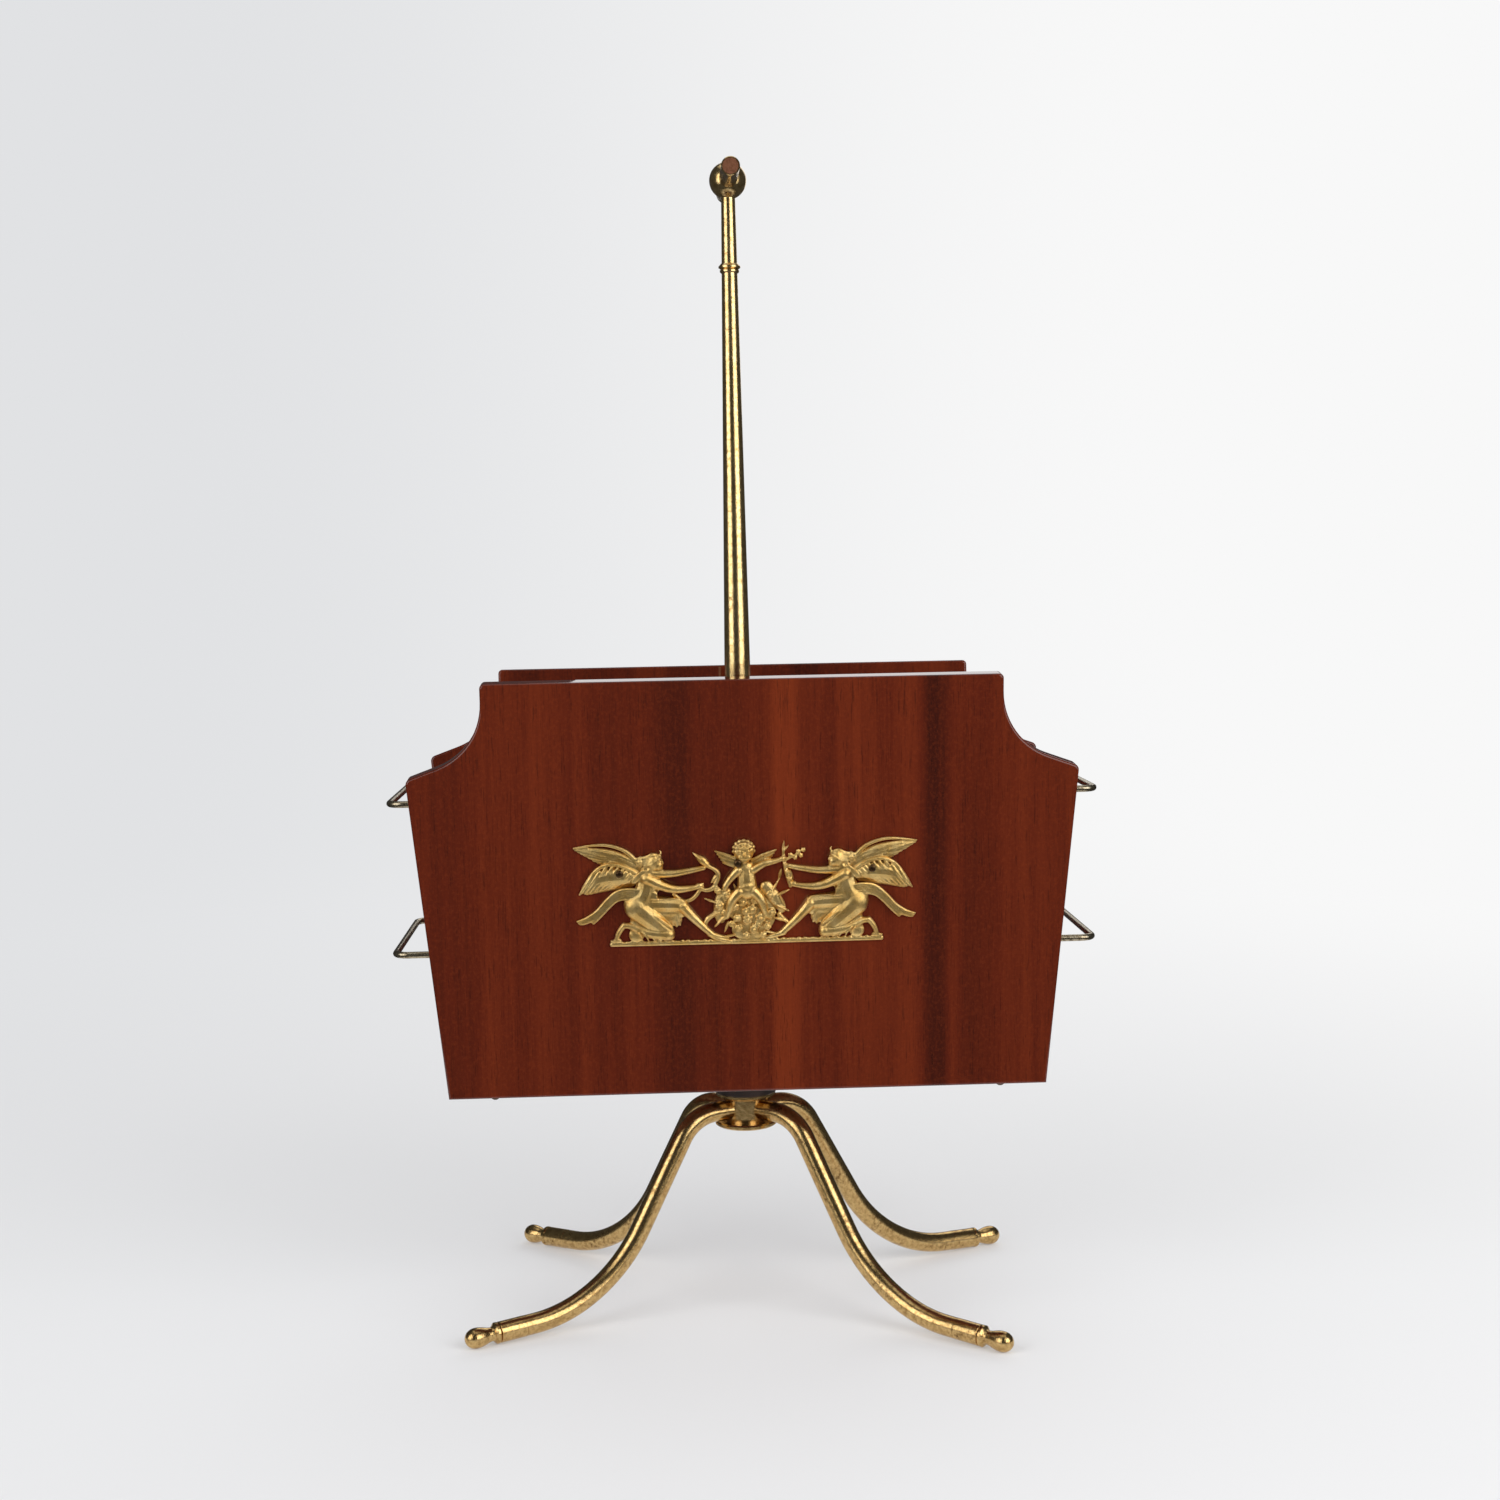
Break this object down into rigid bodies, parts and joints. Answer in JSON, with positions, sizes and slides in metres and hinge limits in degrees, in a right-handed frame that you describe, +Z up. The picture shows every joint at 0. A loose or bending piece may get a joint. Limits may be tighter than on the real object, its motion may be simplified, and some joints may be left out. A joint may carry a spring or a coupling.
{
  "type": "album rack",
  "caption": "Free-standing two-sided rack for albums: splayed glossy wood panels on a turning brass base with bent tube legs, a tall pole and a T grip.",
  "frame": {"origin": "on the floor under the swivel, at the middle of the underside of the whole object", "axes": "+Z up along the pole, +X along the panels to the right end, -Y towards the front panel that carries the relief"},
  "size_m": [0.4644, 0.2762, 0.7765],
  "materials": {
    "aged_brass": "aged, mottled with brown tarnish",
    "polished_brass": "polished, lightly tarnished",
    "dark_brass": "darkened",
    "rail_wire": "dull, silvery where rubbed",
    "gilt_relief": "cast and gilt, dark in the hollows",
    "mahogany": "ribbon-striped, high gloss lacquer",
    "beech": "bare",
    "dark_boss": "ebonised, satin",
    "plug_brown": "brown, dull"
  },
  "bodies": {
    "base": {"hub_bottom_plate": "aged_brass", "hub_drum": "aged_brass", "hub_top_plate": "aged_brass", "leg_screws": "dark_brass", "swivel_spindle": "dark_brass", "swivel_washer": "dark_brass", "swivel_nut": "dark_brass", "leg_front_left": "aged_brass", "foot_sleeve_front_left": "aged_brass", "foot_front_left": "aged_brass", "leg_front_right": "aged_brass", "foot_sleeve_front_right": "aged_brass", "foot_front_right": "aged_brass", "leg_rear_left": "aged_brass", "foot_sleeve_rear_left": "aged_brass", "foot_rear_left": "aged_brass", "leg_rear_right": "aged_brass", "foot_sleeve_rear_right": "aged_brass", "foot_rear_right": "aged_brass"},
    "rack": {"swivel_bush": "aged_brass", "swivel_disc": "dark_boss", "bottom_board": "mahogany", "front_panel": "mahogany", "rear_panel": "mahogany", "dowels_front": "beech", "dowels_rear": "beech", "underside_pins": "dark_brass", "rail_lower_left": "rail_wire", "rail_lower_right": "rail_wire", "rail_upper_left": "rail_wire", "rail_upper_right": "rail_wire", "grip_pole": "polished_brass", "pole_bead": "polished_brass", "pole_collar": "aged_brass", "collar_screws": "dark_brass", "grip_ball": "polished_brass", "grip_bar": "polished_brass", "bar_plug_front": "plug_brown", "bar_plug_rear": "plug_brown", "relief_mount": "gilt_relief", "relief_pins": "dark_brass"}
  },
  "joints": [
    {"name": "rack_swivel", "type": "hinge", "parent": "base", "child": "rack", "pos_m": [0, 0, 0.1438], "axis": [0, 0, 1], "continuous": true}
  ]
}
